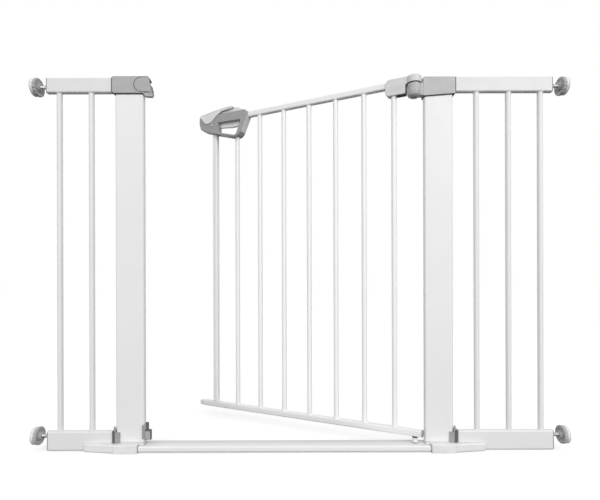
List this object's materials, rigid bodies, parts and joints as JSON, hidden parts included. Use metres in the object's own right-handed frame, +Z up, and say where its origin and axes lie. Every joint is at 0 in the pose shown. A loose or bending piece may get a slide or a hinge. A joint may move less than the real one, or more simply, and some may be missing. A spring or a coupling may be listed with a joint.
{
  "type": "pressure-mounted safety gate",
  "caption": "White steel safety gate, pressure mounted, with side extensions and a barred leaf that lifts and swings, opened by a squeeze handle",
  "frame": {"origin": "on the floor in the middle of the doorway, in the plane of the fixed frame", "axes": "+X to the right along the gate, +Y away from the side it is seen from, the way the leaf opens, +Z up"},
  "size_m": [1.083, 0.2586, 0.7723],
  "materials": {
    "white_coat": "satin powder coat on steel tube, faint orange peel",
    "white_plastic": "fine moulded texture",
    "mid_grey_plastic": "fine spark-eroded texture",
    "wheel_grey_plastic": "moulded, with a gripped rim",
    "clip_grey_plastic": "fine spark-eroded texture",
    "handle_grey_plastic": "satin moulded",
    "light_grey_plastic": "satin moulded",
    "dark_grey_plastic": "satin moulded",
    "zinc_steel": "bright zinc plate"
  },
  "bodies": {
    "root": {"threshold_bar": "white_coat", "left_post": "white_coat", "right_post": "white_coat", "left_top_rail": "white_coat", "left_bottom_rail": "white_coat", "right_top_rail": "white_coat", "right_bottom_rail": "white_coat", "left_bar_1": "white_coat", "left_bar_2": "white_coat", "right_bar_1": "white_coat", "right_bar_2": "white_coat", "right_bar_3": "white_coat", "left_shoe": "white_plastic", "right_shoe": "white_plastic", "lower_bush": "white_plastic", "left_top_insert": "white_plastic", "left_bottom_insert": "white_plastic", "right_top_insert": "white_plastic", "right_bottom_insert": "white_plastic", "latch_striker": "mid_grey_plastic", "lower_keeper": "mid_grey_plastic", "left_outer_clip": "mid_grey_plastic", "right_outer_clip": "mid_grey_plastic", "hinge_bracket": "clip_grey_plastic", "lower_hinge_pin": "zinc_steel"},
    "hinge_pin": {"top_hinge_pin": "zinc_steel"},
    "leaf": {"leaf_top_rail": "white_coat", "leaf_bottom_rail": "white_coat", "leaf_bar_1": "white_coat", "leaf_bar_2": "white_coat", "leaf_bar_3": "white_coat", "leaf_bar_4": "white_coat", "leaf_bar_5": "white_coat", "leaf_bar_6": "white_coat", "leaf_bar_7": "white_coat", "latch_upright": "white_coat", "leaf_hinge_clip": "clip_grey_plastic", "rail_end_cap": "mid_grey_plastic", "lower_latch_pin": "light_grey_plastic", "handle_front_shell": "handle_grey_plastic", "handle_back_shell": "handle_grey_plastic", "handle_top_cover": "light_grey_plastic", "trigger_pivot_pin": "zinc_steel", "shell_screw": "zinc_steel", "trigger_spring": "zinc_steel"},
    "thumb_slider": {"thumb_slider": "light_grey_plastic", "latch_bolt": "dark_grey_plastic"},
    "squeeze_trigger": {"squeeze_trigger": "light_grey_plastic"},
    "left_top_pad": {"left_top_spindle_pad": "white_plastic"},
    "left_top_spindle": {"left_top_spindle_rod": "zinc_steel", "left_top_spindle_wheel": "wheel_grey_plastic"},
    "left_bottom_pad": {"left_bottom_spindle_pad": "white_plastic"},
    "left_bottom_spindle": {"left_bottom_spindle_rod": "zinc_steel", "left_bottom_spindle_wheel": "wheel_grey_plastic"},
    "right_top_pad": {"right_top_spindle_pad": "white_plastic"},
    "right_top_spindle": {"right_top_spindle_rod": "zinc_steel", "right_top_spindle_wheel": "wheel_grey_plastic"},
    "right_bottom_pad": {"right_bottom_spindle_pad": "white_plastic"},
    "right_bottom_spindle": {"right_bottom_spindle_rod": "zinc_steel", "right_bottom_spindle_wheel": "wheel_grey_plastic"}
  },
  "joints": [
    {"name": "leaf_lift", "type": "slide", "parent": "root", "child": "hinge_pin", "axis": [0, 0, 1], "range_m": [0, 0.012]},
    {"name": "leaf_swing", "type": "hinge", "parent": "hinge_pin", "child": "leaf", "pos_m": [0.2335, 0, 0.4], "axis": [0, 0, -1], "range_deg": [-25.4, 64.6]},
    {"name": "thumb_slide", "type": "slide", "parent": "leaf", "child": "thumb_slider", "axis": [0.9033, -0.4289, 0], "range_m": [0, 0.01], "stiffness_N_per_m": 250, "springref_m": -0.008},
    {"name": "trigger_squeeze", "type": "hinge", "parent": "leaf", "child": "squeeze_trigger", "pos_m": [-0.21401, 0.21249, 0.7342], "axis": [-0.4289, -0.9033, 0], "range_deg": [0, 5.5], "stiffness_Nm_per_rad": 0.25, "springref_deg": -17.19, "deforming": ["trigger_spring"]},
    {"name": "left_top_pad_slide", "type": "slide", "parent": "root", "child": "left_top_pad", "axis": [-1, 0, 0], "range_m": [-0.005, 0.01]},
    {"name": "left_top_wheel_spin", "type": "hinge", "parent": "left_top_pad", "child": "left_top_spindle", "pos_m": [-0.529, 0, 0.739], "axis": [-1, 0, 0], "range_deg": [-1450, 2900]},
    {"name": "left_bottom_pad_slide", "type": "slide", "parent": "root", "child": "left_bottom_pad", "axis": [-1, 0, 0], "range_m": [-0.005, 0.01]},
    {"name": "left_bottom_wheel_spin", "type": "hinge", "parent": "left_bottom_pad", "child": "left_bottom_spindle", "pos_m": [-0.529, 0, 0.03], "axis": [-1, 0, 0], "range_deg": [-1450, 2900]},
    {"name": "right_top_pad_slide", "type": "slide", "parent": "root", "child": "right_top_pad", "axis": [1, 0, 0], "range_m": [-0.005, 0.01]},
    {"name": "right_top_wheel_spin", "type": "hinge", "parent": "right_top_pad", "child": "right_top_spindle", "pos_m": [0.529, 0, 0.739], "axis": [1, 0, 0], "range_deg": [-1450, 2900]},
    {"name": "right_bottom_pad_slide", "type": "slide", "parent": "root", "child": "right_bottom_pad", "axis": [1, 0, 0], "range_m": [-0.005, 0.01]},
    {"name": "right_bottom_wheel_spin", "type": "hinge", "parent": "right_bottom_pad", "child": "right_bottom_spindle", "pos_m": [0.529, 0, 0.03], "axis": [1, 0, 0], "range_deg": [-1450, 2900]}
  ],
  "couplings": [
    {"joint": "left_top_wheel_spin", "follows": "left_top_pad_slide", "rad_per_m": 5026.5},
    {"joint": "left_bottom_wheel_spin", "follows": "left_bottom_pad_slide", "rad_per_m": 5026.5},
    {"joint": "right_top_wheel_spin", "follows": "right_top_pad_slide", "rad_per_m": 5026.5},
    {"joint": "right_bottom_wheel_spin", "follows": "right_bottom_pad_slide", "rad_per_m": 5026.5}
  ]
}
